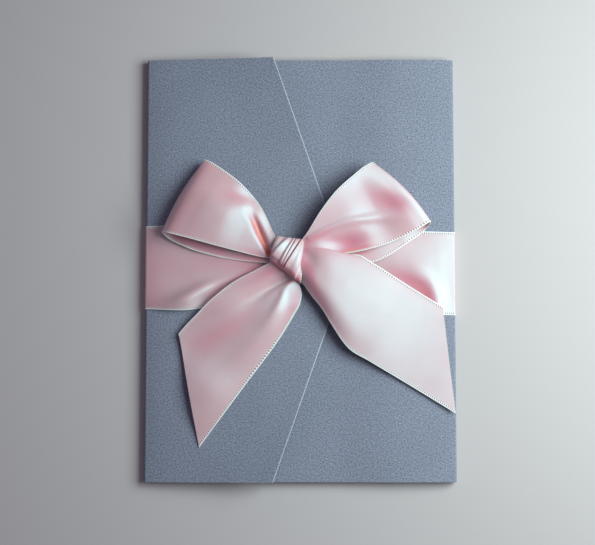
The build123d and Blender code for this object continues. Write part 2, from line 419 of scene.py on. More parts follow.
def satin_colour(tree, uv, middle, selvedge, tick, twill):
    """Blush in soft clouds, with painted shade, rose to coral, in a fold, and a pale ribbed selvedge."""
    cloud = remap(tree, noise(tree, uv, scale=0.55, detail=2.0), 0.3, 0.7, 0.0, 1.0)
    body = mix_colour(tree, cloud, BLUSH, BLUSH_DEEP)
    body = mix_colour(tree, remap(tree, twill, -1, 1, 0.0, 0.20), body, TWILL_SHADE)
    # painted shade for each point: rose up to 1, coral beyond
    painted_shade = node(tree, "ShaderNodeAttribute", attribute_name="PaintedShade").outputs["Fac"]
    body = mix_colour(tree, maths(tree, "MINIMUM", painted_shade, 1.0), body, ROSE_PAINTED_SHADE)
    body = mix_colour(tree, maths(tree, "MAXIMUM", maths(tree, "SUBTRACT", painted_shade, 1.0), 0.0), body, CORAL_PAINTED_SHADE)
    ribs = mix_colour(tree, tick, SELVEDGE_GAP, SELVEDGE_PALE)
    rim = beyond(tree, middle, RIBBON_WIDTH / 2 - SELVEDGE_RIM)
    edge = mix_colour(tree, rim, ribs, SELVEDGE_PALE)
    return mix_colour(tree, selvedge, body, edge)


def satin(name):
    """Double-faced satin: smooth warp floats, a fine twill line, and a ribbed selvedge with small loops.
    Deep in a fold it takes painted shade, rose to coral, standing for light bounced between and through its
    layers."""
    material, tree, shader = new_material(name)
    uv, along, over = satin_lengths(tree)
    middle = maths(tree, "ABSOLUTE", maths(tree, "SUBTRACT", over, RIBBON_WIDTH / 2))
    selvedge = beyond(tree, middle, RIBBON_WIDTH / 2 - SELVEDGE_START)
    tick = remap(tree, wave(tree, along, TICK_PITCH), -0.30, 0.30, 0.0, 1.0)
    slant = maths(tree, "ADD", along, maths(tree, "MULTIPLY", over, TWILL_SLOPE))
    twill = wave(tree, slant, TWILL_PITCH)
    stretched = node(tree, "ShaderNodeMapping", {0: uv, 3: THREAD_STRETCH}).outputs[0]
    threads = noise(tree, stretched, scale=3.0, detail=3.0)
    colour = satin_colour(tree, uv, middle, selvedge, tick, twill)
    rough = maths(tree, "ADD", maths(tree, "MULTIPLY", threads, THREAD_ROUGH), SATIN_ROUGH)
    rough = maths(tree, "ADD", rough, maths(tree, "MULTIPLY", selvedge, SELVEDGE_ROUGH), clamp=True)
    weave = maths(tree, "MULTIPLY", twill, TWILL_RELIEF)
    weave = maths(tree, "ADD", weave, maths(tree, "MULTIPLY", threads, THREAD_RELIEF))
    ribs = maths(tree, "MULTIPLY", maths(tree, "MULTIPLY", tick, selvedge), TICK_RELIEF)
    relief = maths(tree, "ADD", weave, ribs)
    finish_surface(tree, shader, colour, rough, relief, strength=0.35, depth=0.06)
    tangent = node(tree, "ShaderNodeTangent", direction_type="UV_MAP", uv_map="Cloth")
    tree.links.new(tangent.outputs[0], shader.inputs["Tangent"])
    set_inputs(shader, {
        "IOR": 1.9, "Anisotropic": 0.72, "Anisotropic Rotation": 0.25,
        "Specular IOR Level": 0.75, "Specular Tint": rgba(0.28, 1.0, 1.0),
        "Subsurface Weight": 0.35, "Subsurface Radius": (1.0, 0.32, 0.26), "Subsurface Scale": 2 * MM,
    })
    return material


# ---------------------------------------------------------------- card and paper

SLATE_LIGHT = rgba(0.333, 0.385, 0.480)
SLATE_DARK = rgba(0.098, 0.116, 0.157)
SLATE_EDGE_HIGHLIGHT = rgba(0.72, 0.78, 0.86)        # painted highlight, pale, along the card's cut edges
FLECK = rgba(0.03, 0.035, 0.05)
CM_PER_METRE = 100.0


def felt_card(name, by_uv, edge_highlight=0.0):
    """Felt-marked coloured card: soft fibres, a cloudy tone and a few dark flecks. Its patterns are set out
    in centimetres, on the UV map where there is one. edge_highlight is the share of painted highlight mixed
    in."""
    material, tree, shader = new_material(name)
    if by_uv:
        place = node(tree, "ShaderNodeUVMap", uv_map="Cloth").outputs[0]
        scale = 1.0
    else:
        place = node(tree, "ShaderNodeTexCoord").outputs["Object"]
        scale = CM_PER_METRE
    fibre = noise(tree, place, 15.0 * scale, detail=4.0, roughness=0.7)
    grain = noise(tree, place, 34.0 * scale, detail=2.0)
    cloud = noise(tree, place, 0.5 * scale, detail=2.0)
    fleck = node(tree, "ShaderNodeTexVoronoi", {"Vector": place, "Scale": 2.2 * scale}).outputs[0]
    mottle = maths(tree, "ADD", maths(tree, "MULTIPLY", fibre, 0.5), maths(tree, "MULTIPLY", grain, 0.5))
    tone = mix_colour(tree, remap(tree, mottle, 0.38, 0.62, 0.0, 1.0), SLATE_DARK, SLATE_LIGHT)
    tone = mix_colour(tree, remap(tree, cloud, 0.35, 0.65, 0.0, 0.08), tone, SLATE_DARK)
    tone = mix_colour(tree, remap(tree, fleck, 0.03, 0.06, 0.55, 0.0), tone, FLECK)
    if edge_highlight:
        tone = mix_colour(tree, edge_highlight, tone, SLATE_EDGE_HIGHLIGHT)
    rough = remap(tree, mottle, 0.3, 0.7, 0.92, 0.72)
    finish_surface(tree, shader, tone, rough, mottle, strength=0.10, depth=0.06)
    set_inputs(shader, {"Specular IOR Level": 0.35, "Sheen Weight": 0.08})
    return material


def paper(name, light, dark, rough):
    """Uncoated or pearl paper, or film, with fine fibres and soft clouds."""
    material, tree, shader = new_material(name)
    place = node(tree, "ShaderNodeTexCoord").outputs["Object"]
    fibre = noise(tree, place, 14.0 * CM_PER_METRE, detail=4.0)
    cloud = noise(tree, place, 0.6 * CM_PER_METRE, detail=2.0)
    mottle = maths(tree, "MULTIPLY", maths(tree, "ADD", fibre, cloud), 0.5)
    tone = mix_colour(tree, remap(tree, mottle, 0.35, 0.65, 0.0, 1.0), dark, light)
    shine = remap(tree, mottle, 0.3, 0.7, rough + 0.1, rough - 0.1)
    finish_surface(tree, shader, tone, shine, fibre, strength=0.3, depth=0.05)
    return material


ribbon_satin = satin("ribbon_satin")
card_sheet = felt_card("slate_card", by_uv=True)
# painted highlight along the card's cut edges
card_edge_highlight = felt_card("slate_card_edge_highlight", by_uv=True, edge_highlight=0.42)
card_solid = felt_card("slate_card_inside", by_uv=False)
insert_paper = paper("ivory_insert", rgba(0.86, 0.83, 0.77), rgba(0.80, 0.76, 0.69), 0.7)
mat_paper = paper("blush_pearl_mat", rgba(0.80, 0.60, 0.58), rgba(0.74, 0.53, 0.52), 0.4)
envelope_paper = paper("blush_envelope", rgba(0.82, 0.66, 0.63), rgba(0.77, 0.60, 0.58), 0.7)
tape_film = paper("tape", rgba(0.86, 0.85, 0.80), rgba(0.78, 0.77, 0.72), 0.45)

CAD_LOOKS = {
    "pocket": card_solid, "pocket_tape": tape_film, "mat_tape": tape_film,
    "invitation_mat": mat_paper, "invitation_card": insert_paper, "details_card": insert_paper,
    "reply_card": insert_paper, "reply_envelope_back": envelope_paper,
    "reply_envelope_front": envelope_paper, "reply_envelope_flap": envelope_paper,
}


def dress_cad_pieces():
    """The pocket and what it holds keep their CAD shape and take a better material."""
    for name, look in CAD_LOOKS.items():
        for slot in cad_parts[name].material_slots:
            slot.material = look


dress_cad_pieces()

# ---------------------------------------------------------------- folder card

CARD_LINES = np.linspace(-HALF_H, HALF_H, 121)
BACK_ROWS, FLAP_ROWS = 60, 90
CUT_THICKNESS = (0.85, 0.25)               # share of its thickness that the card keeps over a cut edge


def card_piece(name, points, body, stands_for, cut_rows=0):
    """A stretch of the card, with a painted highlight on its rims. Its last rows may form a cut edge, which
    thins and takes the same painted highlight.
    """
    thickness = np.full(points.shape[:2], CARD)
    if cut_rows:
        thickness[-cut_rows:] *= np.linspace(*CUT_THICKNESS, cut_rows)[:, None]
    # the rims take the painted edge highlight, as the last material
    piece = sheet_mesh(name, points, grid_uv(points), thickness, [card_sheet, card_edge_highlight])
    if cut_rows:
        rows = points.shape[0] - 1
        span = points.shape[1] - 1
        for face in piece.data.polygons[(rows - cut_rows) * span: rows * span]:
            face.material_index = 1
    fasten(piece, body, [stands_for])


def make_back_panel():
    edge = HALF_W - CARD / 2 - FOLD_RADIUS
    points = swept(level(-edge, edge, BACK_Z, BACK_ROWS), CARD_LINES)
    card_piece("folder_back_panel", points[::-1], "back", "back_panel")


def make_left_side():
    edge_x = -HALF_W + CARD / 2
    fold_x = edge_x + FOLD_RADIUS
    fold_z = float(left_surface(fold_x, 0.0))
    lower, upper = side_paths(-1, edge_x, BACK_Z, fold_z)
    points = swept(lower, CARD_LINES)
    card_piece("folder_left_lower_fold", points, lower_bend(-1, "left_spine"), "left_spine")
    shares = np.concatenate([
        np.linspace(0, 1 - CRUSHED, FLAP_ROWS)[1:],
        np.linspace(1 - CRUSHED, 1, CRUSHED_ROWS + 1)[1:],
    ])
    x = fold_x + shares[:, None] * (flap_end(CARD_LINES) - fold_x)[None, :]
    y = np.broadcast_to(CARD_LINES[None, :], x.shape)
    flap = np.stack([x, y, left_surface(x, y)], 2)
    points = np.concatenate([swept(upper, CARD_LINES), flap])
    bend = upper_bend(-1, "left_spine", "left_flap", fold_z)
    card_piece("folder_left_flap", points, bend, "left_flap", CRUSHED_ROWS)


def make_right_side():
    edge_x = HALF_W - CARD / 2
    fold_x = edge_x - FOLD_RADIUS
    fold_z = float(right_surface(fold_x))
    lower, upper = side_paths(1, edge_x, BACK_Z, fold_z)
    points = swept(lower, CARD_LINES[::-1])
    card_piece("folder_right_lower_fold", points, lower_bend(1, "right_spine"), "right_spine")
    x = np.linspace(fold_x, RIGHT_EDGE, FLAP_ROWS)[1:]
    path = np.concatenate([upper, np.stack([x, right_surface(x)], 1)])
    points = swept(path, CARD_LINES[::-1])
    bend = upper_bend(1, "right_spine", "right_flap", fold_z)
    card_piece("folder_right_flap", points, bend, "right_flap")


make_back_panel()
make_left_side()
make_right_side()

# ---------------------------------------------------------------- ribbon

BACK_BAND_ROWS, EDGE_RUN_ROWS = 50, 8
LEFT_BAND_ROWS, RIGHT_BAND_ROWS = 150, 90


def satin_thickness(uv):
    """The ribbon is thicker along its two ribbed selvedges."""
    over = uv[..., 1]
    inset = np.minimum(over, RIBBON_WIDTH - over)
    return SATIN + SELVEDGE_RIB * hump(inset, SELVEDGE_INSET, SELVEDGE_WIDTH)


def ribbon_piece(name, points, along, body, stands_for, painted_shade=None,
                 columns=None):
    """Makes one stretch of the ribbon. along gives the ribbon's own length at each row, or at each point,
    and columns gives where each column lies across it."""
    columns = across() if columns is None else columns
    uv = np.zeros(points.shape[:2] + (2,))
    uv[..., 0] = along.reshape(len(along), -1)
    uv[..., 1] = columns[None, :] * RIBBON_WIDTH
    piece = sheet_mesh(name, points, uv, satin_thickness(uv), [ribbon_satin], painted_shade)
    fasten(piece, body, stands_for)


def band_grid(path, keep=1.0):
    """A stretch of the band over a path of (x, z). keep is the share of its width that it keeps."""
    x = path[:, 0]
    lines = (across() - 0.5) * RIBBON_WIDTH
    kept = np.broadcast_to(keep, x.shape)
    return swept(path, band_y(x)[:, None] + lines[None, :] * kept[:, None])


def band_paths(side, top_z):
    """Paths of (x, z) of the band round one side: from the back to mid spine, and on up to the flap."""
    lower, upper = side_paths(side, side * BAND_EDGE, RIBBON_BACK_Z, top_z)
    run = level(side * BAND_TURN, side * BAND_CORNER, RIBBON_BACK_Z, EDGE_RUN_ROWS)
    return np.concatenate([run, lower]), upper


CREASE_STEPS = 80
CREASE_BLEND = 8                           # how firmly the nearest part of a crease wins over the rest


def crease_field(x, y, creases):
    """Ridges and valleys along short lines on the ribbon, seen from above.
    A crease is a list of (x, y, height, width), and the line runs smoothly through its points."""
    total = np.zeros(x.shape)
    for crease in creases:
        crease = np.array(crease, float)
        knots = arc_length(crease[:, :2])
        line = through(knots, crease, np.linspace(0, knots[-1], CREASE_STEPS))
        pull = np.zeros(x.shape)
        for px, py, height, width in line:
            near = np.exp(-((x - px) ** 2 + (y - py) ** 2) / width**2)
            pull += (np.abs(height) * near) ** CREASE_BLEND
        total += np.sign(crease[:, 2].sum()) * pull ** (1 / CREASE_BLEND)
    return total


def make_back_band():
    points = band_grid(level(-BAND_TURN, BAND_TURN, RIBBON_BACK_Z, BACK_BAND_ROWS))[::-1]
    along = arc_length(points[:, 0])
    ribbon_piece("ribbon_back", points, along, "back", ["ribbon_back_band"])


def make_left_band():
    turn_x = -BAND_EDGE + FOLD_RADIUS
    turn_z = float(left_surface(turn_x, 0.0)) + BAND_LIFT
    lower, upper = band_paths(-1, turn_z)
    points = band_grid(lower)
    ribbon_piece(
        "ribbon_left_lower_turn", points, arc_length(points[:, 0]), lower_bend(-1, "left_spine"),
        ["ribbon_left_wrap"],
    )
    path = np.concatenate([upper, level(turn_x, LEFT_BAND_END, turn_z, LEFT_BAND_ROWS)[1:]])
    # x, and the share of its width that the band keeps there as it gathers under the knot
    gather = [(-66, 1), (-46, 1), (-30, 0.80), (-13, 0.42), (-4, 0.30), (6, 0.45), (15, 0.8), (22, 1)]
    points = band_grid(path, through(*zip(*gather), path[:, 0])[:, 0])
    creases = [
        [(-61, -17.0, 0.0, 5.0), (-54, -15.6, 1.8, 4.6), (-48, -13.0, 3.2, 3.8), (-42, -9.6, 2.4, 3.0),
         (-36, -6.4, 0.9, 2.4), (-28, -3.4, 0.3, 2.0), (-16, 0.0, 1.2, 1.6)],
        [(-45, -16, 0.0, 2.5), (-36, -11.4, -1.2, 2.4), (-27, -6.8, -1.5, 1.8), (-16, -2.6, -1.2, 1.2)],
        [(-46, 8.0, 0.0, 3.5), (-30, 7.0, 0.9, 3.0), (-12, 3.5, 1.0, 1.5)],
        [(-40, -17.0, 0.0, 2.6), (-30, -13.6, 1.2, 2.4), (-20, -8.0, 1.3, 1.8), (-13, -3.0, 1.0, 1.2)],
    ]
    # painted shade: rosy streaks along the gathers, and darker towards the band's left edge
    painted_shades = [
        [(-44, -15, 0.0, 3.0), (-34, -9.5, 0.6, 2.4), (-25, -5.0, 1.0, 2.0), (-13, 0.5, 1.1, 2.4)],
        [(-56, 2, 0.1, 7.0), (-36, 2.5, 0.25, 5.0), (-20, 2.0, 0.5, 3.0)],
        [(-66, 16, 0.12, 9.0), (-66, 0, 0.22, 9.0), (-66, -16, 0.35, 9.0)],
    ]
    x, y, z = np.moveaxis(points, 2, 0)
    billow_height, billow_x, billow_width = 0.8, -28.0, 14.0
    billow = billow_height * hump(x, billow_x, billow_width)
    lift = np.maximum(crease_field(x, y, creases) + billow, 0)
    points[..., 2] = np.where(x > turn_x, left_surface(x, y) + BAND_LIFT + lift, z)
    bend = upper_bend(-1, "left_spine", "left_flap", turn_z)
    ribbon_piece(
        "ribbon_left_band_top", points, arc_length(path), bend, ["ribbon_left_band"],
        painted_shade=crease_field(x, y, painted_shades),
    )


def make_right_band():
    turn_x = BAND_EDGE - FOLD_RADIUS
    turn_z = float(right_surface(turn_x)) + BAND_LIFT
    lower, upper = band_paths(1, turn_z)
    points = band_grid(lower)[:, ::-1]
    ribbon_piece(
        "ribbon_right_lower_turn", points, arc_length(points[:, 0]), lower_bend(1, "right_spine"),
        ["ribbon_right_wrap"],
    )
    top_x = np.linspace(turn_x, RIGHT_BAND_END, RIGHT_BAND_ROWS)[1:]
    path = np.concatenate([upper, np.stack([top_x, right_surface(top_x) + BAND_LIFT], 1)])
    points = band_grid(path)[:, ::-1]
    creases = [
        [(60, 1, 0.0, 7.0), (50, 3, 0.5, 7.0), (38, 5, 0.9, 7.5), (25, 7, 1.1, 7.5)],
        [(43, -0.5, 0.0, 4.0), (50, -3.2, 0.7, 4.0), (55.0, -7.5, 1.1, 4.0), (57.0, -13.0, 1.1, 4.2),
         (57.4, -19.5, 1.0, 4.2)],
    ]
    # painted shade: a rosy streak along the band's low hollow
    painted_shades = [
        [(38, -1.5, 0.4, 3.2), (46, -5.5, 0.9, 3.4), (51.5, -9.0, 1.0, 3.4), (54, -14, 1.0, 3.0),
         (54.5, -19, 0.8, 3.0)],
    ]
    held_reach = 6.0
    x, y = points[..., 0], points[..., 1]
    points[..., 2] += crease_field(x, y, creases) * smooth_step((turn_x - x) / held_reach)
    bend = upper_bend(1, "right_spine", "right_flap", turn_z)
    ribbon_piece(
        "ribbon_right_band_top", points, arc_length(path), bend, ["ribbon_right_band"],
        painted_shade=crease_field(x, y, painted_shades),
    )


make_back_band()
make_left_band()
make_right_band()

# ---------------------------------------------------------------- bow

# A rib is a line across the ribbon: the (x, y) of its selvedge A and of its selvedge B, and its heights at
# the places across.
PLACES = [0.0, 0.25, 0.5, 0.75, 1.0]
LOOP_ROWS = 230
LOOP_END_RIB = 6                           # where a loop turns back under its own front
LOOP_BACK_ROW = 130                        # from this row on it is all back
# painted shade, even, on a loop's back layer seen inside it
LOOP_BACK_SHADE = 0.6
TAIL_ROWS = 200
FADE_ROWS = 6.0                            # creases and painted shade fade out over this many rows
SWELL_REACH = 7.0                          # mm along the ribbon


def flat_rib(a, b, z):
    return a, b, [z] * len(PLACES)


def rib_marks(ribs):
    """How far along the middle of the ribbon each rib lies."""
    middles = [[*(np.array(a) + np.array(b)) / 2, heights[len(PLACES) // 2]] for a, b, heights in ribs]
    return arc_length(np.array(middles))


def ribbon_surface(ribs, rows, creases, painted_shades, front=None, swell=0.0):
    """A ribbon surface through ribs, the length at each row, and the painted shade of each point.
    Creases shape, and painted_shades paint shade on, the rows before the rib called front. That rib swells
    outward by swell mm at its middle."""
    first = np.array([rib[0] for rib in ribs], float)
    second = np.array([rib[1] for rib in ribs], float)
    heights = np.array([rib[2] for rib in ribs], float)
    knots = rib_marks(ribs)
    u = np.linspace(0, knots[-1], rows)
    v = across()
    a = through(knots, first, u)
    b = through(knots, second, u)
    points = np.zeros((rows, len(v), 3))
    points[..., :2] = a[:, None] + (b - a)[:, None] * v[None, :, None]
    points[..., 2] = through(PLACES, through(knots, heights, u).T, v).T
    limit = rows
    if front is not None:
        limit = int(np.searchsorted(u, knots[front]))
        outward = (first[front] + second[front]) / 2 - (first[0] + second[0]) / 2
        outward /= np.linalg.norm(outward)
        near = hump(u, knots[front], SWELL_REACH)[:, None] * np.sin(math.pi * v)[None, :]
        points[..., :2] += swell * near[..., None] * outward
    fade = smooth_step((limit - np.arange(rows)) / FADE_ROWS)[:, None]
    x, y = points[..., 0], points[..., 1]
    points[..., 2] += crease_field(x, y, creases) * fade
    return points, u, crease_field(x, y, painted_shades) * fade


def make_left_loop():
    ribs = [
        ((-9.0, 9.0), (-10.0, 3.5), [11.9, 10.9, 10.5, 10.6, 10.4]),
        ((-12.5, 17.2), (-16.5, 4.3), [10.9, 11.3, 11.1, 11.0, 10.9]),
        ((-17.2, 26.2), (-27.0, 6.8), [11.3, 13.4, 13.1, 12.4, 11.8]),
        ((-24.8, 34.9), (-38.0, 9.6), [13.0, 15.6, 16.4, 15.3, 13.3]),
        ((-33.2, 41.4), (-48.5, 12.4), [12.2, 14.6, 15.9, 15.4, 13.9]),
        ((-38.4, 44.7), (-55.8, 14.3), [10.9, 12.6, 13.4, 13.4, 12.6]),
        flat_rib((-39.8, 45.1), (-57.7, 14.7), 10.0),
        flat_rib((-38.2, 43.8), (-56.0, 12.9), 8.2),
        flat_rib((-32.0, 36.8), (-47.0, 8.3), 7.7),
        flat_rib((-24.0, 27.5), (-36.0, 5.0), 7.7),
        flat_rib((-15.0, 17.0), (-24.0, 2.9), 7.9),
        flat_rib((-9.0, 8.0), (-11.0, 1.6), 9.0),
    ]
    creases = [
        [(-22, 25, 0.0, 2.2), (-19.4, 20, -1.2, 1.7), (-16.8, 14, -1.9, 1.5), (-13, 6, -1.9, 1.0)],
        [(-37, 33, 0.0, 4.5), (-29, 30.5, -0.9, 4.0), (-21, 28.5, -0.8, 3.5), (-17, 25, 0.0, 3.0)],
    ]
    # painted shade: coral in the crease, rosier in a hollow, near the root and on the loop's far side
    painted_shades = [
        [(-20.5, 22, 0.3, 2.0), (-18.8, 18, 1.5, 1.7), (-16, 12, 1.9, 1.4), (-13, 5.5, 1.8, 1.0)],
        [(-34, 31, 0.0, 4.0), (-27, 29.5, 0.35, 3.4), (-20, 27.5, 0.0, 3.0)],
        [(-26, 7.4, 0.0, 2.0), (-18, 5.4, 0.5, 2.0), (-11, 4.0, 0.9, 1.8)],
        [(-42, 43, 0.25, 8.0), (-50, 30, 0.25, 8.0), (-56, 16, 0.2, 8.0)],
    ]
    points, u, painted_shade = ribbon_surface(ribs, LOOP_ROWS, creases, painted_shades, LOOP_END_RIB, swell=1.5)
    # the loop's back layer, seen inside it, takes an even painted shade
    painted_shade[LOOP_BACK_ROW:] = LOOP_BACK_SHADE
    ribbon_piece("bow_left_loop_satin", points, u, "left_flap", ["bow_left_loop"], painted_shade=painted_shade)


def make_right_loop():
    ribs = [
        ((-1.0, 9.5), (0.0, 4.5), [12.5, 12.2, 12.0, 11.5, 11.0]),
        ((2.5, 13.6), (7.5, 5.2), [14.0, 13.6, 13.4, 13.2, 12.2]),
        ((8.0, 22.4), (17.5, 5.4), [15.3, 14.3, 13.3, 12.9, 12.2]),
        ((14.5, 31.0), (28.5, 7.4), [15.6, 14.3, 13.2, 12.6, 11.8]),
        ((22.0, 38.1), (39.2, 11.0), [14.3, 13.3, 12.0, 11.3, 10.8]),
        ((27.5, 42.5), (49.6, 16.2), [12.6, 13.0, 13.4, 12.8, 11.6]),
        ((30.4, 44.0), (54.3, 19.0), [11.0, 11.7, 12.1, 11.9, 10.9]),
        ((29.4, 42.0), (53.4, 17.0), [8.6, 8.4, 8.2, 7.8, 7.4]),
        ((22.5, 35.0), (44.0, 9.8), [8.2, 8.2, 8.2, 8.0, 7.9]),
        ((15.5, 26.5), (31.6, 2.6), [7.8, 7.9, 8.2, 8.7, 9.0]),
        ((8.0, 16.0), (15.5, 0.6), [7.8, 7.9, 8.2, 8.6, 8.8]),
        flat_rib((-1.0, 8.0), (0.0, 1.6), 8.8),
    ]
    creases = [
        [(3.5, 11.6, 0.5, 1.0), (10, 15, 0.8, 1.3), (18.8, 18.4, 0.9, 1.6), (30, 20.4, 1.0, 1.9),
         (42, 21.6, 0.0, 2.6)],
        [(31, 28.6, 0.0, 4.0), (38.0, 26.4, -0.7, 4.0), (42, 25.0, 0.0, 3.0)],
        [(7, 9.8, 0.0, 2.4), (13, 9.6, -0.8, 3.2), (19, 10.0, -1.3, 3.8), (27, 12.4, 0.0, 3.6)],
    ]
    # painted shade: rosy in the loop's hollows, near its root and along its upper side
    painted_shades = [
        [(24, 29.4, 0.15, 5.5), (32, 28.4, 0.4, 5.4), (39, 27.0, 0.65, 5.2), (44, 25.2, 0.5, 4.2)],
        [(9, 10.8, 0.4, 2.6), (15, 10.2, 0.6, 4.0), (21, 10.0, 0.8, 5.0), (28, 11.5, 0.3, 4.4)],
        [(1, 9.0, 0.6, 2.0), (5, 11.4, 0.5, 2.0), (12, 15.2, 0.2, 1.6)],
        [(8, 17, 0.2, 4.0), (14, 22, 0.2, 5.0), (21, 27.5, 0.2, 6.0), (27, 33, 0.1, 6.0)],
    ]
    # painted shade inside the loop's mouth
    mouth_shade = [[(15, 5.6, 0.8, 2.0), (21, 6.4, 1.4, 2.1), (26, 7.6, 1.0, 2.2), (33, 10.0, 0.0, 2.0)]]
    points, u, painted_shade = ribbon_surface(ribs, LOOP_ROWS, creases, painted_shades, LOOP_END_RIB, swell=1.8)
    painted_shade = np.maximum(painted_shade, crease_field(points[..., 0], points[..., 1], mouth_shade))
    ribbon_piece("bow_right_loop_satin", points, u, "left_flap", ["bow_right_loop"], painted_shade=painted_shade)


def cut_slant(layers, u, start, end):
    """Trims a grid of values on a slant: it ends at start along selvedge A and at end along selvedge B."""
    v = across()
    share = np.linspace(0, 1, len(u))
    along = share[:, None] * (start + (end - start) * v[None, :])
    trimmed = np.zeros_like(layers)
    for column, layer in np.ndindex(layers.shape[1:]):
        trimmed[:, column, layer] = np.interp(along[:, column], u, layers[:, column, layer])
    return trimmed, along


def tail_piece(name, ribs, cut, creases, painted_shades, stands_for, roll=None):
    """A ribbon end cut on a slant from rib number cut, at selvedge A, to the last rib, at selvedge B."""
    points, u, painted_shade = ribbon_surface(ribs, TAIL_ROWS, creases, painted_shades)
    if roll is not None:
        roll(points, u)
    marks = rib_marks(ribs)
    trimmed, along = cut_slant(np.dstack([points, painted_shade]), u, marks[cut], marks[-1])
    ribbon_piece(
        name, trimmed[..., :3], along, "left_flap", stands_for, trimmed[..., 3],
    )


def make_left_tail():
    ribs = [
        ((-11.3, 2.8), (-2.5, -3.5), [10.3, 10.4, 9.4, 8.7, 8.8]),
        ((-18.3, -0.9), (0.2, -9.0), [9.5, 10.0, 9.0, 9.1, 8.5]),
        ((-27.0, -5.5), (0.0, -14.5), [9.4, 10.1, 9.2, 9.5, 8.2]),
        ((-35.5, -12.0), (-2.6, -19.7), [10.0, 10.3, 9.1, 9.9, 7.9]),
        ((-43.3, -19.6), (-8.7, -29.7), [8.8, 8.7, 8.6, 9.2, 7.5]),
        ((-50.7, -27.6), (-22.6, -48.5), [7.4, 7.3, 8.1, 8.6, 7.6]),
        ((-57.8, -37.3), (-29.7, -58.1), [7.0, 7.3, 8.9, 9.4, 7.8]),
        ((-70.1, -53.9), (-41.9, -74.7), [7.0, 7.0, 6.9, 6.9, 6.7]),
    ]
    creases = [
        [(-5, -4.5, -1.8, 1.3), (-12, -8, -1.7, 1.8), (-19, -12, -1.1, 2.6), (-32, -18, 0.0, 3.6)],
        [(-2.5, -5.5, 0.3, 1.0), (-6.0, -8.8, 0.6, 1.2), (-8.2, -14, 0.9, 1.8), (-11.2, -20.7, 1.0, 2.6),
         (-16.5, -28, 0.6, 3.4), (-26, -35, 0.0, 4.0)],
    ]
    # painted shade: rosy near the knot and in the tail's valleys
    painted_shades = [
        [(-8, 0, 0.9, 2.4), (-15, -3.4, 0.6, 3.0), (-24, -8, 0.2, 4.0), (-34, -14, 0.0, 4.0)],
        [(-20, -19, 0.2, 4.0), (-29, -25, 0.4, 4.6), (-41, -32, 0.4, 5.0)],
        [(-0.5, -9, 0.8, 2.0), (-2.8, -16, 0.6, 2.4), (-8, -26, 0.2, 2.6), (-18, -38, 0.0, 3.0)],
    ]
    tail_piece("bow_left_tail_satin", ribs, 5, creases, painted_shades, ["bow_left_tail"])


def roll_lapel(points, u):
    """Turns the right tail's upper edge under, near the knot."""
    lapel_length, lapel_end, lapel_share = 16, 12, 0.10
    drop_y, drop_z = 3.2, 2.4
    near = 1 - smooth_step((u[:, None] - lapel_length) / lapel_end)
    over = np.clip((lapel_share - across()[None, :]) / lapel_share, 0, 1) ** 2
    points[..., 1] -= drop_y * near * over
    points[..., 2] -= drop_z * near * over


def make_right_tail():
    ribs = [
        ((-2.0, 9.2), (-1.0, -3.0), [13.4, 13.6, 13.2, 12.2, 10.0]),
        ((4.5, 9.7), (3.3, -10.0), [13.8, 14.6, 14.4, 13.4, 10.2]),
        ((12.0, 9.3), (8.9, -17.2), [13.4, 14.6, 14.6, 13.4, 10.2]),
        ((21.0, 6.8), (13.4, -24.6), [12.4, 13.5, 13.7, 12.8, 10.0]),
        ((31.0, 1.2), (19.5, -33.2), [11.3, 12.1, 12.2, 11.5, 9.5]),
        ((45.0, -7.6), (29.0, -39.2), [9.5, 9.9, 10.0, 9.6, 8.6]),
        ((59.2, -16.2), (40.8, -46.2), [8.1, 8.0, 7.9, 7.7, 7.4]),
        ((82.9, -30.6), (64.5, -60.6), [7.3, 7.2, 7.1, 6.9, 6.5]),
    ]
    creases = [
        [(5, -5, 0.2, 3.4), (12, -15, 0.3, 4.2), (20, -26, 0.2, 5.0)],
        [(1, 6, -0.9, 2.6), (4, 3, -1.0, 3.4)],
    ]
    # painted shade: rosy near the knot, along the lower edge and under the turned lapel
    painted_shades = [
        [(-0.5, 5, 0.9, 2.6), (2.5, 0, 0.9, 2.2), (5.5, -8, 0.8, 2.0), (9.5, -16, 0.7, 2.0),
         (15, -25, 0.4, 2.2), (27, -37, 0.0, 3.0)],
        [(2, 8, 0.6, 2.4), (8, 7.0, 0.35, 3.0), (17, 5.0, 0.3, 3.4), (26, 1.5, 0.0, 3.0)],
    ]
    tail_piece(
        "bow_right_tail_satin", ribs, 6, creases, painted_shades, ["bow_right_tail"],
        roll_lapel,
    )


# ---------------------------------------------------------------- knot

KNOT_CORE = 9.6                            # height of the middle of the knot
KNOT_LEAN = 1.8                            # the knot stands higher at its foot than at its top
KNOT_SWING = math.radians(128)             # a turn goes this far round the knot, each way from its front
KNOT_ROWS = 110
KNOT_SELVEDGE_COLUMNS, KNOT_COLUMNS = 7, 140
PLEAT_FADE, PLEAT_LEAST = 1.6, 0.25        # how its pleats flatten towards the back
FOOT_WEIGHT = 10.0                         # mm that the foot line counts for as columns are shared out
LEFT_ROUNDING, RIGHT_ROUNDING = 0.06, 0.30           # how much a turn falls off towards the knot's two sides
PLEAT_SHADE, PLEAT_SHADE_MOST = 2.0, 1.5               # painted shade in a pleat for each mm below shade
FOOT_SHADE, FOOT_SHARE, FOOT_FADE = 1.3, 0.02, 0.14   # painted shade where a turn goes under, at its foot


def between(ends, shares):
    """Points on the line between two ends."""
    start, end = np.array(ends)
    return start[None, :] + shares[:, None] * (end - start)[None, :]


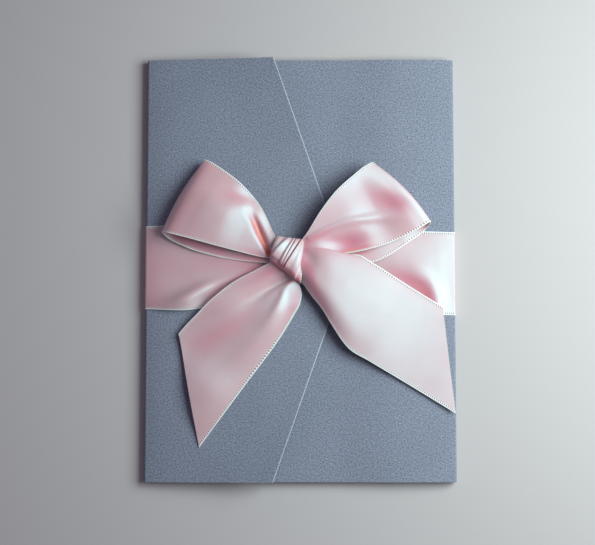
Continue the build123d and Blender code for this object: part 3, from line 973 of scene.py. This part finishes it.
def wrap_piece(name, top, foot, profile, crown, bulge, shade, stands_for=()):
    """A turn of ribbon round the knot. Its top and foot lines run between two points each. For every
    pleat its profile gives (place along the top line, place along the foot line, height in mm). Pleats
    lower than shade take on painted shade, as does the turn's foot where it goes under."""
    shape = np.array(profile, float)
    steps = arc_length(shape[:, 1:] * [FOOT_WEIGHT, 1.0])
    columns = across(KNOT_SELVEDGE_COLUMNS, KNOT_COLUMNS)
    head, tail, height = through(steps / steps[-1], shape, columns).T
    swing = np.linspace(KNOT_SWING, -KNOT_SWING, KNOT_ROWS)
    share = ((1 + np.sin(swing)) / 2)[:, None]
    top_line = between(top, head)
    foot_line = between(foot, tail)
    points = np.zeros((len(swing), len(columns), 3))
    points[..., :2] = foot_line[None] + (top_line - foot_line)[None] * share[..., None]
    points[..., 0] += bulge * np.sin(math.pi * share) * (tail[None, :] - 0.5) * 2
    rounding = np.where(tail > 0.5, RIGHT_ROUNDING, LEFT_ROUNDING)
    barrel = 1 - rounding * (2 * np.clip(tail, 0, 1) - 1) ** 4
    arch = (np.sign(np.cos(swing)) * np.sqrt(np.abs(np.cos(swing))))[:, None]
    fade = np.clip(arch * PLEAT_FADE, PLEAT_LEAST, 1)
    lean = KNOT_LEAN * (0.5 - share) * np.clip(arch, 0, 1)
    points[..., 2] = KNOT_CORE + crown * barrel[None, :] * arch + height[None, :] * fade + lean
    along = arc_length(points[:, len(columns) // 2])
    # painted shade: in the low pleats, and where the turn goes under at its foot
    pleat_shade = np.clip(PLEAT_SHADE * (shade - height), 0, PLEAT_SHADE_MOST)[None, :]
    under = FOOT_SHADE * (1 - smooth_step((share - FOOT_SHARE) / FOOT_FADE))
    ribbon_piece(
        name, points, along, "left_flap", stands_for,
        painted_shade=np.maximum(pleat_shade, under), columns=columns,
    )


def make_knot():
    """Two turns of ribbon: one under, and one drawn over it from the upper right to the lower left."""
    under = [
        (0.00, 0.00, 0.4), (0.05, 0.05, 0.9), (0.25, 0.25, 0.7), (0.50, 0.50, 0.3), (0.80, 0.80, 0.1),
        (1.00, 1.00, -0.4),
    ]
    wrap_piece(
        "bow_knot_under_turn", [(-9.4, 13.0), (0.4, 11.2)], [(-12.4, 2.6), (0.2, -6.6)], under,
        crown=4.3, bulge=0.6, shade=0.2, stands_for=["bow_knot"],
    )
    over = [
        (0.00, 0.00, 1.20), (0.03, 0.02, 1.60), (0.20, 0.15, 1.30), (0.34, 0.29, 0.95),
        (0.41, 0.37, 1.60), (0.45, 0.405, 1.45), (0.475, 0.42, 0.10), (0.50, 0.43, 0.20),
        (0.62, 0.455, 1.25), (0.72, 0.47, 1.10), (0.80, 0.485, 0.10), (0.87, 0.505, 0.60),
        (0.93, 0.54, 1.60), (0.965, 0.58, 1.20), (0.98, 0.68, 0.70), (0.985, 0.85, 0.90),
        (0.995, 0.96, 0.95), (1.00, 1.00, 0.60),
    ]
    wrap_piece(
        "bow_knot_over_turn", [(-5.0, 12.2), (1.4, 11.5)], [(-12.4, 4.0), (-2.1, -5.1)], over,
        crown=5.2, bulge=0.7, shade=0.75,
    )


make_left_loop()
make_right_loop()
make_left_tail()
make_right_tail()
make_knot()

# ---------------------------------------------------------------- floor, light and camera

FLOOR_HALF = 6000.0
FLOOR_GAP = 0.1                            # the floor lies this far under the object
CAMERA_DISTANCE = 600.0
CAMERA_ELEVATION = 84.87
CAMERA_TARGET = (-1.18, -1.74, 5.0)
CAMERA_LENS = 86.5                         # focal length on a sensor 36 mm wide
CAMERA_SENSOR = 36.0
CAMERA_NEAR = 10.0


def make_floor():
    corners = [(-1, -1), (1, -1), (1, 1), (-1, 1)]
    mesh = bpy.data.meshes.new("floor")
    mesh.from_pydata([metres(x * FLOOR_HALF, y * FLOOR_HALF, 0) for x, y in corners], [], [(0, 1, 2, 3)])
    floor = bpy.data.objects.new("floor", mesh)
    floor.location.z = -FLOOR_GAP * MM
    bpy.context.scene.collection.objects.link(floor)
    material, tree, shader = new_material("pale_floor")
    set_inputs(shader, {"Base Color": rgba(0.50, 0.49, 0.49), "Roughness": 0.9})
    mesh.materials.append(material)


def area_light(name, place, size, power, colour):
    """A square light at a place in metres, aimed at the middle of the object."""
    data = bpy.data.lights.new(name, "AREA")
    data.shape = "SQUARE"
    data.size = size
    data.energy = power
    data.color = colour
    lamp = bpy.data.objects.new(name, data)
    lamp.location = place
    lamp.rotation_euler = (-Vector(place)).to_track_quat("-Z", "Y").to_euler()
    lamp.visible_camera = False
    bpy.context.scene.collection.objects.link(lamp)


def make_lights():
    """A soft window low on the right, a weak fill from overhead and a dim rosy room."""
    area_light("window", (0.27, 0.045, 0.28), 0.28, 2.25, (0.86, 0.96, 0.94))
    area_light("fill", (0.0, 0.2, 0.9), 0.6, 0.42, (0.95, 0.77, 1.0))
    world = bpy.data.worlds.new("studio")
    world.use_nodes = True
    set_inputs(world.node_tree.nodes["Background"], {"Color": rgba(0.62, 0.50, 0.66), "Strength": 0.21})
    bpy.context.scene.world = world


def set_tones():
    """Pale satin only comes out near white with the Standard view transform."""
    bpy.context.scene.view_settings.view_transform = "Standard"


def make_camera():
    data = bpy.data.cameras.new("camera")
    data.sensor_width = CAMERA_SENSOR
    data.lens = CAMERA_LENS
    data.clip_start = CAMERA_NEAR * MM
    camera = bpy.data.objects.new("camera", data)
    tilt = math.radians(CAMERA_ELEVATION)
    offset = Vector((0, -math.cos(tilt), math.sin(tilt))) * CAMERA_DISTANCE
    camera.location = (Vector(CAMERA_TARGET) + offset) * MM
    camera.rotation_euler = (math.radians(90) - tilt, 0, 0)
    bpy.context.scene.collection.objects.link(camera)
    bpy.context.scene.camera = camera


make_floor()
make_lights()
set_tones()
make_camera()
